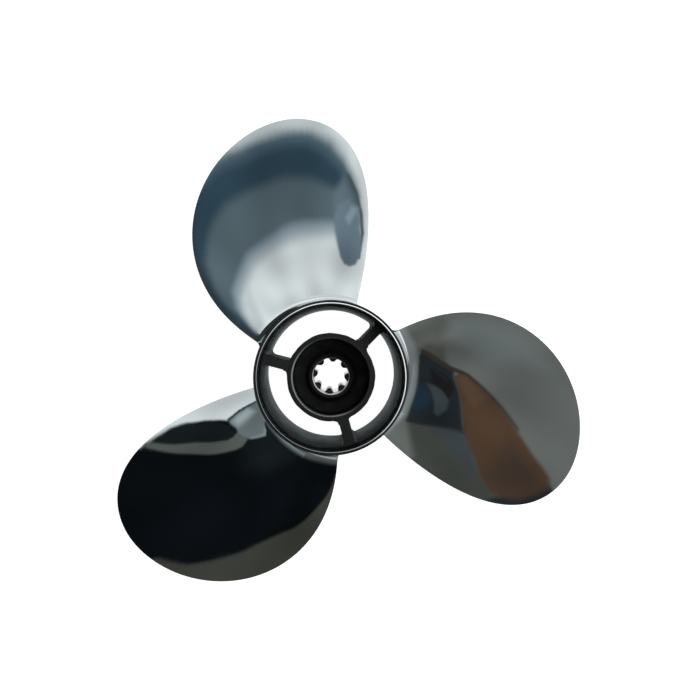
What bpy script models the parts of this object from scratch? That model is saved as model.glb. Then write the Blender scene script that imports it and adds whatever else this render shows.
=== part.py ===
"""Small outboard motor propeller with three blades and a through-hub exhaust barrel.

It stands on the flat front face of its barrel with the aft end up. The origin is on the shaft axis in
that front face, +Z points aft, and blade_1 points roughly along +Y.
"""

import math

import bmesh
import bpy

# Whole propeller, in metres and degrees
PROPELLER_RADIUS = 0.1173
HUB_LENGTH = 0.0850
PITCH = 0.2540
BLADE_COUNT = 3
SEAM = 0.0003

# Barrel: a slightly tapered exhaust tube with a lipped ring at its aft end
BARREL_FRONT_RADIUS = 0.0344
BARREL_WAIST_RADIUS = 0.0318
BARREL_WAIST_Z = 0.0760
RING_RADIUS = 0.0322
RING_START_Z = 0.0825
RING_FOOT_RADIUS = 0.0319
RING_FOOT_Z = 0.0800
BARREL_BORE_RADIUS = 0.0300
LIP_BORE_RADIUS = 0.0303
LIP_BORE_START_Z = 0.0835
LIP_ROUND = 0.0005
FRONT_CHAMFER = 0.0004

# Inner hub and the ribs that carry it
INNER_HUB_RADIUS = 0.0188
INNER_HUB_BORE_RADIUS = 0.0160
INNER_HUB_FRONT_Z = 0.0030
INNER_HUB_AFT_Z = 0.0750
INNER_HUB_LIP = 0.0010
RIB_THICKNESS = 0.0040
RIB_FLARE = 0.0024
RIB_FRONT_Z = 0.0080
RIB_AFT_Z = 0.0745
FIRST_RIB_ANGLE = 45.5

# Rubber bush and the splined sleeve bonded into it
BUSH_FRONT_Z = 0.0050
BUSH_AFT_Z = 0.0550
BUSH_CHAMFER = 0.0010
SLEEVE_RADIUS = 0.0100
SLEEVE_FRONT_Z = 0.0015
SLEEVE_AFT_Z = 0.0580
SLEEVE_RECESS_RADIUS = 0.0082
SLEEVE_RECESS_DEPTH = 0.0140
SPLINE_COUNT = 8
SPLINE_MAJOR_RADIUS = 0.0077
SPLINE_MINOR_RADIUS = 0.0061
SPLINE_BASE_SHARE = 0.66
SPLINE_TIP_SHARE = 0.28
FIRST_SPLINE_ANGLE = -6.4

# Blade outline, as the angle that a cylindrical section covers and the angle of its middle
BLADE_HALF_ANGLE = 46.1
BLADE_FULLNESS = 1.52
BLADE_ROUNDNESS = 0.52
BLADE_MIDDLE_ANGLE = 111.5
BLADE_SKEW_LINEAR = 9.5
BLADE_SKEW_SQUARE = -22.0

# Blade surface: where it sits along the shaft, its rake, thickness, cup and root fillet
BLADE_CENTRE_ANGLE = 112.5
BLADE_CENTRE_Z = 0.0415
BLADE_RAKE = 0.03
ROOT_THICKNESS = 0.0065
TIP_THICKNESS = 0.0017
THICKNESS_FALL = 1.3
SECTION_ROUNDNESS = 0.6
CUP_HEIGHT = 0.0012
CUP_START = 0.80
ROOT_FILLET = 0.0040
EDGE_FILLET = 0.0020

# How finely the curves are cut. A rounded corner has one point at its middle, this share of its size in
ROUND_CUT = 1 - math.cos(math.pi / 4)
BARREL_STEPS = 72
INNER_STEPS = 60
CHORD_STEPS = 18
FILLET_STEPS = 4
BLADE_STATIONS = 13
TIP_STEP_LEFT = 0.2
ROOT_CAP_LINES = (0.5, 0.0, -0.5)
RIB_FLARE_STEPS = 4
SMOOTH_LIMIT_DEGREES = 35.0
MERGE_DISTANCE = 0.000001

# Finishes: base colour, metallic and roughness
POLISHED_STAINLESS = ("polished_stainless", (0.56, 0.58, 0.60, 1.0), 1.0, 0.10)
CAST_STAINLESS = ("cast_stainless", (0.16, 0.17, 0.17, 1.0), 1.0, 0.45)
BLACK_RUBBER = ("black_rubber", (0.02, 0.02, 0.02, 1.0), 0.0, 0.70)
MACHINED_STEEL = ("machined_steel", (0.36, 0.33, 0.30, 1.0), 1.0, 0.35)


def clear_scene():
    """Removes every object that the file opened with."""
    for old in list(bpy.data.objects):
        bpy.data.objects.remove(old, do_unlink=True)


def finish_material(finish):
    """Makes the Principled material of one finish."""
    name, colour, metallic, roughness = finish
    material = bpy.data.materials.new(name)
    material.use_nodes = True
    shader = material.node_tree.nodes["Principled BSDF"]
    shader.inputs["Base Color"].default_value = colour
    shader.inputs["Metallic"].default_value = metallic
    shader.inputs["Roughness"].default_value = roughness
    return material


def mesh_from_bmesh(name, shape, material):
    """Turns a bmesh into a smooth-shaded mesh whose faces point out."""
    bmesh.ops.recalc_face_normals(shape, faces=shape.faces)
    mesh = bpy.data.meshes.new(name)
    shape.to_mesh(mesh)
    shape.free()
    mesh.materials.append(material)
    mesh.shade_smooth()
    mesh.set_sharp_from_angle(angle=math.radians(SMOOTH_LIMIT_DEGREES))
    return mesh


def place(name, mesh, parent, turn_degrees=0.0):
    """Puts one named piece on the shaft, turned about it."""
    piece = bpy.data.objects.new(name, mesh)
    bpy.context.scene.collection.objects.link(piece)
    piece.parent = parent
    piece.rotation_euler = (0.0, 0.0, math.radians(turn_degrees))
    return piece


def turned_mesh(name, profile, steps, material):
    """Spins a closed profile of (radius, height) points once round the shaft."""
    shape = bmesh.new()
    points = [shape.verts.new((radius, 0.0, height)) for radius, height in profile]
    edges = [shape.edges.new((start, points[index - 1])) for index, start in enumerate(points)]
    bmesh.ops.spin(
        shape,
        geom=points + edges,
        axis=(0.0, 0.0, 1.0),
        cent=(0.0, 0.0, 0.0),
        angle=math.tau,
        steps=steps,
        use_merge=True,
    )
    bmesh.ops.remove_doubles(shape, verts=shape.verts, dist=MERGE_DISTANCE)
    return mesh_from_bmesh(name, shape, material)


def barrel_mesh(material):
    """The exhaust barrel, from its aft lip down the outside and back up the bore."""
    corner = LIP_ROUND * ROUND_CUT
    profile = [
        (LIP_BORE_RADIUS + LIP_ROUND, HUB_LENGTH),
        (RING_RADIUS - LIP_ROUND, HUB_LENGTH),
        (RING_RADIUS - corner, HUB_LENGTH - corner),
        (RING_RADIUS, HUB_LENGTH - LIP_ROUND),
        (RING_RADIUS, RING_START_Z),
        (RING_FOOT_RADIUS, RING_FOOT_Z),
        (BARREL_WAIST_RADIUS, BARREL_WAIST_Z),
        (BARREL_FRONT_RADIUS, FRONT_CHAMFER),
        (BARREL_FRONT_RADIUS - FRONT_CHAMFER, 0.0),
        (BARREL_BORE_RADIUS + FRONT_CHAMFER, 0.0),
        (BARREL_BORE_RADIUS, FRONT_CHAMFER),
        (BARREL_BORE_RADIUS, BARREL_WAIST_Z),
        (LIP_BORE_RADIUS, LIP_BORE_START_Z),
        (LIP_BORE_RADIUS, HUB_LENGTH - LIP_ROUND),
        (LIP_BORE_RADIUS + corner, HUB_LENGTH - corner),
    ]
    return turned_mesh("outer_hub", profile, BARREL_STEPS, material)


def inner_hub_mesh(material):
    """The tube that holds the bush, with a rounded aft rim."""
    rim_middle = (INNER_HUB_RADIUS + INNER_HUB_BORE_RADIUS) / 2
    corner = INNER_HUB_LIP * ROUND_CUT
    profile = [
        (rim_middle, INNER_HUB_AFT_Z),
        (INNER_HUB_RADIUS - corner, INNER_HUB_AFT_Z - corner),
        (INNER_HUB_RADIUS, INNER_HUB_AFT_Z - INNER_HUB_LIP),
        (INNER_HUB_RADIUS, INNER_HUB_FRONT_Z + FRONT_CHAMFER),
        (INNER_HUB_RADIUS - FRONT_CHAMFER, INNER_HUB_FRONT_Z),
        (INNER_HUB_BORE_RADIUS + FRONT_CHAMFER, INNER_HUB_FRONT_Z),
        (INNER_HUB_BORE_RADIUS, INNER_HUB_FRONT_Z + FRONT_CHAMFER),
        (INNER_HUB_BORE_RADIUS, INNER_HUB_AFT_Z - INNER_HUB_LIP),
        (INNER_HUB_BORE_RADIUS + corner, INNER_HUB_AFT_Z - corner),
    ]
    return turned_mesh("inner_hub", profile, INNER_STEPS, material)


def bush_mesh(material):
    """The rubber bush between the inner hub and the sleeve."""
    outer = INNER_HUB_BORE_RADIUS - SEAM
    inner = SLEEVE_RADIUS + SEAM
    profile = [
        (inner, BUSH_AFT_Z),
        (outer - BUSH_CHAMFER, BUSH_AFT_Z),
        (outer, BUSH_AFT_Z - BUSH_CHAMFER),
        (outer, BUSH_FRONT_Z + BUSH_CHAMFER),
        (outer - BUSH_CHAMFER, BUSH_FRONT_Z),
        (inner, BUSH_FRONT_Z),
    ]
    return turned_mesh("rubber_bush", profile, INNER_STEPS, material)


def spline_ring():
    """The (radius, angle) points of the splined bore, eight to a tooth and its valley."""
    pitch_angle = math.tau / SPLINE_COUNT
    start = math.radians(FIRST_SPLINE_ANGLE)
    ring = []
    for tooth in range(SPLINE_COUNT):
        middle = start + tooth * pitch_angle
        base = SPLINE_BASE_SHARE * pitch_angle / 2
        tip = SPLINE_TIP_SHARE * pitch_angle / 2
        valley = pitch_angle / 2 - base
        ring += [
            (SPLINE_MAJOR_RADIUS, middle - base - valley),
            (SPLINE_MAJOR_RADIUS, middle - base - valley / 2),
            (SPLINE_MAJOR_RADIUS, middle - base),
            (SPLINE_MINOR_RADIUS, middle - tip),
            (SPLINE_MINOR_RADIUS, middle),
            (SPLINE_MINOR_RADIUS, middle + tip),
            (SPLINE_MAJOR_RADIUS, middle + base),
            (SPLINE_MAJOR_RADIUS, middle + base + valley / 2),
        ]
    return ring


def sleeve_mesh(material):
    """The metal sleeve: a plain outside, a plain recess aft, and splines through the rest."""
    ring = spline_ring()
    recess_z = SLEEVE_AFT_Z - SLEEVE_RECESS_DEPTH
    levels = [
        ([(SLEEVE_RADIUS, angle) for _, angle in ring], SLEEVE_FRONT_Z),
        ([(SLEEVE_RADIUS, angle) for _, angle in ring], SLEEVE_AFT_Z),
        ([(SLEEVE_RECESS_RADIUS, angle) for _, angle in ring], SLEEVE_AFT_Z),
        ([(SLEEVE_RECESS_RADIUS, angle) for _, angle in ring], recess_z),
        (ring, recess_z),
        (ring, SLEEVE_FRONT_Z),
    ]
    shape = bmesh.new()
    loops = []
    for points, height in levels:
        loops.append([
            shape.verts.new((radius * math.cos(angle), radius * math.sin(angle), height))
            for radius, angle in points
        ])
    for lower, upper in zip(loops, loops[1:] + loops[:1]):
        bridge(shape, lower, upper)
    return mesh_from_bmesh("splined_sleeve", shape, material)


def bridge(shape, lower, upper):
    """Joins two closed loops of equal length with quads."""
    for index in range(len(lower)):
        shape.faces.new((lower[index - 1], lower[index], upper[index], upper[index - 1]))


def rib_outline():
    """The rib's plan, along +X: flared at both ends and curved to fit the two tubes."""
    inner_end = INNER_HUB_RADIUS + SEAM
    outer_end = BARREL_BORE_RADIUS - SEAM
    side = []
    for step in range(RIB_FLARE_STEPS + 1):
        turn = math.pi / 2 * step / RIB_FLARE_STEPS
        radius = inner_end + RIB_FLARE * (1 - math.cos(turn))
        side.append((radius, RIB_THICKNESS / 2 + RIB_FLARE * (1 - math.sin(turn))))
    for step in range(RIB_FLARE_STEPS + 1):
        turn = math.pi / 2 * step / RIB_FLARE_STEPS
        radius = outer_end - RIB_FLARE * (1 - math.sin(turn))
        side.append((radius, RIB_THICKNESS / 2 + RIB_FLARE * (1 - math.cos(turn))))
    left = [(radius, math.asin(half_width / radius)) for radius, half_width in side]
    right = [(radius, -angle) for radius, angle in reversed(left)]
    return left + [(outer_end, 0.0)] + right + [(inner_end, 0.0)]


def rib_mesh(material):
    """One rib, its plan extruded along the shaft."""
    shape = bmesh.new()
    outline = [
        shape.verts.new((radius * math.cos(angle), radius * math.sin(angle), RIB_FRONT_Z))
        for radius, angle in rib_outline()
    ]
    face = shape.faces.new(outline)
    raised = bmesh.ops.extrude_face_region(shape, geom=[face])["geom"]
    top = [part for part in raised if isinstance(part, bmesh.types.BMVert)]
    bmesh.ops.translate(shape, verts=top, vec=(0.0, 0.0, RIB_AFT_Z - RIB_FRONT_Z))
    return mesh_from_bmesh("rib", shape, material)


def barrel_radius_at(height):
    """The barrel's outer radius where a blade root meets it."""
    share = min(max(height / BARREL_WAIST_Z, 0.0), 1.0)
    return BARREL_FRONT_RADIUS + (BARREL_WAIST_RADIUS - BARREL_FRONT_RADIUS) * share


def blade_half_angle(radius):
    """Half the angle that the blade covers at a radius, closing round at the tip."""
    share = min(radius / PROPELLER_RADIUS, 1.0)
    return math.radians(BLADE_HALF_ANGLE) * (1 - share ** BLADE_FULLNESS) ** BLADE_ROUNDNESS


def blade_middle_angle(radius):
    """The angle of the section's middle, which skews towards the leading edge at the tip."""
    share = radius / PROPELLER_RADIUS
    return math.radians(BLADE_MIDDLE_ANGLE + BLADE_SKEW_LINEAR * share + BLADE_SKEW_SQUARE * share ** 2)


def blade_stations():
    """The radii of the sections: close together in the root fillet, then by even steps of angle."""
    root = BARREL_WAIST_RADIUS
    fillet = [root + ROOT_FILLET * (step / FILLET_STEPS) ** 2 for step in range(FILLET_STEPS)]
    foot = root + ROOT_FILLET
    full_share = blade_half_angle(foot) / math.radians(BLADE_HALF_ANGLE)
    outer = []
    for station in range(BLADE_STATIONS):
        share = full_share * math.cos(math.pi / 2 * station / (BLADE_STATIONS - 1 + TIP_STEP_LEFT))
        outer.append(PROPELLER_RADIUS * (1 - share ** (1 / BLADE_ROUNDNESS)) ** (1 / BLADE_FULLNESS))
    return fillet + outer


def section_thickness(radius):
    """The section's greatest thickness, falling from root to tip."""
    span = (PROPELLER_RADIUS - radius) / (PROPELLER_RADIUS - BARREL_WAIST_RADIUS)
    return TIP_THICKNESS + (ROOT_THICKNESS - TIP_THICKNESS) * max(span, 0.0) ** THICKNESS_FALL


def blade_point(radius, along, above):
    """A point of a cylindrical section: along the pitch line from its middle, and above it."""
    rise = PITCH / math.tau
    slope = math.atan2(rise, radius)
    middle = blade_middle_angle(radius)
    angle = middle + (along * math.cos(slope) - above * math.sin(slope)) / radius
    height = BLADE_CENTRE_Z + rise * (middle - math.radians(BLADE_CENTRE_ANGLE))
    height += BLADE_RAKE * (radius - BARREL_WAIST_RADIUS)
    height += along * math.sin(slope) + above * math.cos(slope)
    return angle, height


def fillet_reach(radius, fillet):
    """How far a round fillet between blade and barrel stands off the plain section at a radius."""
    clear = max(fillet - (radius - BARREL_WAIST_RADIUS), 0.0)
    return fillet - math.sqrt(fillet ** 2 - clear ** 2)


def section_point(radius, chord_share, side):
    """A surface point at a chord share from -1 (leading) to 1 (trailing).

    side is 1 on the pressure face, 0 in the middle and -1 on the back.
    """
    flare = fillet_reach(radius, ROOT_FILLET)
    slope = math.atan2(PITCH / math.tau, radius)
    half_chord = radius * blade_half_angle(radius) / math.cos(slope) + fillet_reach(radius, EDGE_FILLET)
    cup = CUP_HEIGHT * max((chord_share - CUP_START) / (1 - CUP_START), 0.0) ** 2
    fullness = max(1 - chord_share ** 2, 0.0) ** SECTION_ROUNDNESS
    thickness = section_thickness(radius) * fullness
    nose = 1.0 if fullness > 0.0 else 0.0
    top = cup + flare * nose
    bottom = cup - thickness - flare * nose
    above = bottom + (top - bottom) * (side + 1) / 2
    return blade_point(radius, chord_share * half_chord, above)


def blade_vertex(shape, station_radius, chord_share, side):
    """A vertex of the blade, its root stations spread to follow the tapered barrel."""
    angle, height = section_point(station_radius, chord_share, side)
    lift = barrel_radius_at(height) + SEAM - BARREL_WAIST_RADIUS
    fade = (station_radius - BARREL_WAIST_RADIUS) / (PROPELLER_RADIUS - BARREL_WAIST_RADIUS)
    radius = station_radius + lift * (1 - fade)
    return shape.verts.new((radius * math.cos(angle), radius * math.sin(angle), height))


def blade_mesh(material):
    """One blade: closed cylindrical sections from root to tip, joined and capped."""
    shape = bmesh.new()
    shares = [-math.cos(math.pi * step / CHORD_STEPS) for step in range(CHORD_STEPS + 1)]
    inner_shares = shares[1:-1]
    loops = []
    for radius in blade_stations():
        leading = blade_vertex(shape, radius, -1.0, 0)
        face = [blade_vertex(shape, radius, share, 1) for share in inner_shares]
        trailing = blade_vertex(shape, radius, 1.0, 0)
        back = [blade_vertex(shape, radius, share, -1) for share in reversed(inner_shares)]
        loops.append([leading] + face + [trailing] + back)
    for lower, upper in zip(loops, loops[1:]):
        bridge(shape, lower, upper)
    cap_root(shape, loops[0], inner_shares)
    shape.faces.new(loops[-1])
    return mesh_from_bmesh("blade", shape, material)


def cap_root(shape, loop, shares):
    """Closes the root loop through middle lines, so that the cap follows the barrel."""
    count = len(shares)
    leading = loop[0]
    trailing = loop[count + 1]
    rows = [loop[1:count + 1]]
    for side in ROOT_CAP_LINES:
        rows.append([blade_vertex(shape, BARREL_WAIST_RADIUS, share, side) for share in shares])
    rows.append(list(reversed(loop[count + 2:])))
    for upper, lower in zip(rows, rows[1:]):
        shape.faces.new((leading, upper[0], lower[0]))
        for index in range(count - 1):
            shape.faces.new((upper[index], upper[index + 1], lower[index + 1], lower[index]))
        shape.faces.new((trailing, lower[-1], upper[-1]))


def build_propeller():
    """Places every piece of the propeller on one shaft."""
    shaft = bpy.data.objects.new("shaft_axis", None)
    bpy.context.scene.collection.objects.link(shaft)
    polished = finish_material(POLISHED_STAINLESS)
    cast = finish_material(CAST_STAINLESS)
    rubber = finish_material(BLACK_RUBBER)
    steel = finish_material(MACHINED_STEEL)

    place("outer_hub", barrel_mesh(polished), shaft)
    place("inner_hub", inner_hub_mesh(cast), shaft)
    place("rubber_bush", bush_mesh(rubber), shaft)
    place("splined_sleeve", sleeve_mesh(steel), shaft)

    blade = blade_mesh(polished)
    rib = rib_mesh(cast)
    for index in range(BLADE_COUNT):
        turn = 360.0 / BLADE_COUNT * index
        place(f"blade_{index + 1}", blade, shaft, turn)
        place(f"rib_{index + 1}", rib, shaft, FIRST_RIB_ANGLE + turn)


clear_scene()
build_propeller()
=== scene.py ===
"""Looks of a small outboard motor propeller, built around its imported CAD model.

All lengths are metres and all angles degrees, in the CAD model's frame: the propeller stands on the front
end of its barrel, +Z points aft and the middle of blade_1 is near +Y.
"""

import math

import bmesh
import bpy
import numpy as np
from mathutils import Matrix, Vector


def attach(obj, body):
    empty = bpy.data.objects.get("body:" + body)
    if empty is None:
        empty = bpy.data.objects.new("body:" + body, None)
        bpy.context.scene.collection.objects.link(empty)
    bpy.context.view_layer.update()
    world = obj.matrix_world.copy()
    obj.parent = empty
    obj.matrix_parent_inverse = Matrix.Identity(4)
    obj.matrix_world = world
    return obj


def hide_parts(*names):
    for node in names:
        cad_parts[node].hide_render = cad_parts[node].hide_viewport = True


# Camera: the photograph's viewpoint, just off the shaft's axis
CAMERA_PLACE = (0.0008, 0.0150, 0.6211)
CAMERA_LOOKS = (0.0132, -0.0065, -1.0)
CAMERA_RIGHT = (1.0, 0.0, 0.0132)
CAMERA_LENS_MM = 66.74
CAMERA_SENSOR_MM = 36.0

# Whole propeller
PROPELLER_RADIUS = 0.1169
HUB_LENGTH = 0.0850
PITCH = 0.2540
BLADE_COUNT = 3

# Barrel
BARREL_FRONT_RADIUS = 0.0344
BARREL_WAIST_RADIUS = 0.0318
BARREL_WAIST_Z = 0.0760
BARREL_BORE_RADIUS = 0.0299
RING_RADIUS = 0.0322
LIP_BORE_RADIUS = 0.0303
LIP_CREST_RADIUS = 0.0309
GROOVE_INNER_RADIUS = 0.0313
GROOVE_OUTER_RADIUS = 0.0316
BAND_OUTER_RADIUS = 0.0319
# Softness of the mask edges on the aft face, where the painted shade on it starts, and the sides on which painted
# highlights and painted shade fall, as seen from aft
AFT_FACE_SOFT = 0.00006
PAINTED_SHADE_FOOT_Z = 0.0834
LOWER_LEFT_SIDE = (-0.77, -0.64, 0.0)
BORE_LIT_SIDE = (0.50, 0.87, 0.0)
BARREL_STEPS = 256

# Inner hub and ribs
INNER_HUB_RADIUS = 0.0188
INNER_HUB_BORE_RADIUS = 0.0160
BEAD_OUTER_RADIUS = 0.0172
INNER_HUB_FRONT_Z = 0.0030
INNER_HUB_AFT_Z = 0.0750
INNER_STEPS = 192
RIB_HALF_WIDTH = 0.0020
RIB_DRAFT = 0.0003
RIB_FLARE = 0.0018
RIB_FRONT_Z = 0.0080
RIB_AFT_Z = 0.0745
RIB_EDGE_ROUND = 0.0006
FIRST_RIB_ANGLE = 45.5

# Rubber bush and splined sleeve
SEAM_OVERLAP = 0.00005
BUSH_FRONT_Z = 0.0050
BUSH_AFT_Z = 0.0550
SLEEVE_RADIUS = 0.0100
SLEEVE_FRONT_Z = 0.0015
SLEEVE_AFT_Z = 0.0580
SLEEVE_RECESS_RADIUS = 0.0078
RECESS_MOUTH_RADIUS = 0.0081
RECESS_MOUTH_DROP = 0.00006
SLEEVE_RECESS_Z = 0.0440
SPLINE_COUNT = 8
SPLINE_MAJOR_RADIUS = 0.0077
SPLINE_MINOR_RADIUS = 0.0061
SPLINE_BASE_SHARE = 0.39
SPLINE_TIP_SHARE = 0.09
SPLINE_STEPS = 24
FIRST_SPLINE_ANGLE = -6.4

# Blade outline, as the angle that a cylindrical section covers and the angle of its middle
BLADE_HALF_ANGLE = 46.1
BLADE_FULLNESS = 1.52
BLADE_ROUNDNESS = 0.52
BLADE_MIDDLE_ANGLE = 111.5
BLADE_SKEW_LINEAR = 9.5
BLADE_SKEW_SQUARE = -22.0

# Blade surface
BLADE_CENTRE_ANGLE = 112.5
BLADE_CENTRE_Z = 0.0415
BLADE_RAKE = 0.03
ROOT_THICKNESS = 0.0065
TIP_THICKNESS = 0.0017
THICKNESS_FALL = 1.3
SECTION_ROUNDNESS = 0.6
EDGE_ROUND = 0.0005
ROOT_FILLET = 0.0032
EDGE_FILLET = 0.0020
ROOT_SINK = 0.0005
CHORD_STEPS = 72
FILLET_STEPS = 10
SPAN_STEPS = 64


def material(name):
    """A new node material: its Principled shader and a maker of nodes for its tree."""
    made = bpy.data.materials.new(name)
    made.use_nodes = True
    nodes = NodeMaker(made.node_tree)
    return made, made.node_tree.nodes["Principled BSDF"], nodes


class NodeMaker:
    """Short calls that add nodes to one tree and give back their outputs."""

    def __init__(self, tree):
        self.tree = tree

    def add(self, kind, **settings):
        node = self.tree.nodes.new(kind)
        for name, value in settings.items():
            setattr(node, name, value)
        return node

    def feed(self, socket, value):
        if isinstance(value, bpy.types.NodeSocket):
            self.tree.links.new(value, socket)
        else:
            socket.default_value = value

    def math(self, operation, first, second=0.0, clamp=False):
        node = self.add("ShaderNodeMath", operation=operation, use_clamp=clamp)
        self.feed(node.inputs[0], first)
        self.feed(node.inputs[1], second)
        return node.outputs[0]

    def vector(self, operation, first, second=(0.0, 0.0, 0.0)):
        node = self.add("ShaderNodeVectorMath", operation=operation)
        self.feed(node.inputs[0], first)
        self.feed(node.inputs[1], second)
        return node.outputs["Value"] if operation == "DOT_PRODUCT" else node.outputs["Vector"]

    def soft_step(self, value, low, high, start=0.0, end=1.0):
        node = self.add("ShaderNodeMapRange", interpolation_type="SMOOTHSTEP")
        for socket, number in zip(node.inputs[:5], (value, low, high, start, end)):
            self.feed(socket, number)
        return node.outputs["Result"]

    def mix(self, share, first, second):
        node = self.add("ShaderNodeMix", data_type="RGBA")
        self.feed(node.inputs["Factor"], share)
        self.feed(node.inputs[6], first)
        self.feed(node.inputs[7], second)
        return node.outputs[2]

    def noise(self, place, scale, detail=2.0, roughness=0.5):
        node = self.add("ShaderNodeTexNoise")
        self.feed(node.inputs["Vector"], place)
        node.inputs["Scale"].default_value = scale
        node.inputs["Detail"].default_value = detail
        node.inputs["Roughness"].default_value = roughness
        return node.outputs["Fac"]

    def bump(self, height, distance, normal=None):
        node = self.add("ShaderNodeBump")
        node.inputs["Distance"].default_value = distance
        self.feed(node.inputs["Height"], height)
        if normal is not None:
            self.feed(node.inputs["Normal"], normal)
        return node.outputs["Normal"]

    def shaft_radius_and_height(self):
        """How far a point is from the shaft's axis, and its height along it."""
        parts = self.add("ShaderNodeSeparateXYZ")
        self.feed(parts.inputs[0], self.object_place())
        across = self.math("POWER", parts.outputs[0], 2.0)
        along = self.math("POWER", parts.outputs[1], 2.0)
        return self.math("SQRT", self.math("ADD", across, along)), parts.outputs[2]

    def zone(self, value, low, high, soft):
        """1 where a value lies between two limits, with soft ends."""
        rise = self.soft_step(value, low - soft, low + soft)
        fall = self.soft_step(value, high - soft, high + soft, 1.0, 0.0)
        return self.math("MULTIPLY", rise, fall)

    def object_place(self, stretch=(1.0, 1.0, 1.0)):
        place = self.add("ShaderNodeTexCoord").outputs["Object"]
        return self.vector("MULTIPLY", place, stretch)


def polished_stainless():
    """Blades and the outside of the barrel: hand-polished, slightly wavy, with faint wiping marks. The barrel's aft
    face outside the lip is painted near black as painted shade, and the lip carries a painted highlight and painted
    shade.
    """
    made, shader, nodes = material("polished_stainless")
    place = nodes.object_place()
    cloud = nodes.noise(place, 45.0, 3.0)
    wiping = nodes.noise(nodes.object_place((400.0, 90.0, 900.0)), 1.0, 2.0)
    colour = nodes.mix(cloud, (0.56, 0.585, 0.60, 1.0), (0.64, 0.655, 0.66, 1.0))
    radius, height = nodes.shaft_radius_and_height()
    # Painted shade: the aft face outside the lip, over the groove, band and outer rounding, is painted near black, with
    # the band a little lighter as a painted highlight line.
    outside_lip = nodes.soft_step(radius, GROOVE_INNER_RADIUS - AFT_FACE_SOFT, GROOVE_INNER_RADIUS + AFT_FACE_SOFT)
    painted_shade = nodes.math("MULTIPLY", outside_lip, nodes.soft_step(height, PAINTED_SHADE_FOOT_Z, PAINTED_SHADE_FOOT_Z + 0.0006))
    painted_shade = nodes.math("MULTIPLY", painted_shade, nodes.soft_step(radius, RING_RADIUS + 0.0002, RING_RADIUS + 0.0001))
    band = nodes.zone(radius, GROOVE_OUTER_RADIUS, BAND_OUTER_RADIUS, AFT_FACE_SOFT)
    painted_shade_colour = nodes.mix(band, (0.010, 0.011, 0.012, 1.0), (0.060, 0.065, 0.068, 1.0))
    colour = nodes.mix(painted_shade, colour, painted_shade_colour)
    # Painted highlight and painted shade on the lip: bright on the upper right, dull on the lower left.
    lip_shaded_side = nodes.soft_step(nodes.vector("DOT_PRODUCT", place, LOWER_LEFT_SIDE), -RING_RADIUS, RING_RADIUS)
    lip = nodes.soft_step(radius, GROOVE_INNER_RADIUS + AFT_FACE_SOFT, GROOVE_INNER_RADIUS - AFT_FACE_SOFT)
    lip = nodes.math("MULTIPLY", lip, nodes.soft_step(height, HUB_LENGTH - 0.0004, HUB_LENGTH - 0.0002))
    lip_highlight_and_shade = nodes.mix(lip_shaded_side, (0.88, 0.89, 0.89, 1.0), (0.29, 0.30, 0.305, 1.0))
    colour = nodes.mix(lip, colour, lip_highlight_and_shade)
    shader.inputs["Metallic"].default_value = 1.0
    nodes.feed(shader.inputs["Base Color"], colour)
    roughness = nodes.soft_step(nodes.math("ADD", cloud, nodes.math("MULTIPLY", wiping, 0.4)), 0.4, 1.0, 0.015, 0.05)
    nodes.feed(shader.inputs["Roughness"], roughness)
    waves = nodes.bump(nodes.noise(place, 28.0, 1.0, 0.3), 0.00022)
    marks = nodes.bump(wiping, 0.0000015, waves)
    nodes.feed(shader.inputs["Normal"], marks)
    return made


def cast_bore():
    """The barrel's inside: grainy casting, darker near the lip and lighter towards the front as painted shade and
    painted light, and darker on the lower left as painted shade.
    """
    made, shader, nodes = material("cast_bore")
    place = nodes.object_place()
    blotch = nodes.noise(place, 160.0, 4.0, 0.6)
    grain = nodes.noise(place, 1400.0, 3.0, 0.7)
    radius, height = nodes.shaft_radius_and_height()
    # Painted shade and painted light: the wall is darker towards the lip and lighter towards the front, where light
    # comes in.
    shaded_tone = nodes.mix(blotch, (0.055, 0.063, 0.066, 1.0), (0.105, 0.118, 0.122, 1.0))
    lit_tone = nodes.mix(blotch, (0.22, 0.232, 0.236, 1.0), (0.38, 0.392, 0.396, 1.0))
    colour = nodes.mix(nodes.soft_step(height, 0.015, 0.065), lit_tone, shaded_tone)
    # Painted shade: the wall on the lower left is darkened, while the upper right keeps its tone.
    lit_side = nodes.soft_step(nodes.vector("DOT_PRODUCT", place, BORE_LIT_SIDE), -RING_RADIUS, RING_RADIUS)
    colour = nodes.mix(nodes.soft_step(lit_side, 0.0, 1.0, 0.80, 0.0), colour, (0.022, 0.027, 0.030, 1.0))
    nodes.feed(shader.inputs["Base Color"], colour)
    shader.inputs["Metallic"].default_value = 1.0
    shader.inputs["Specular Tint"].default_value = (0.78, 0.83, 0.85, 1.0)
    nodes.feed(shader.inputs["Roughness"], nodes.soft_step(blotch, 0.3, 0.7, 0.52, 0.66))
    lumps = nodes.bump(blotch, 0.0004)
    nodes.feed(shader.inputs["Normal"], nodes.bump(grain, 0.00006, lumps))
    return made


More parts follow.
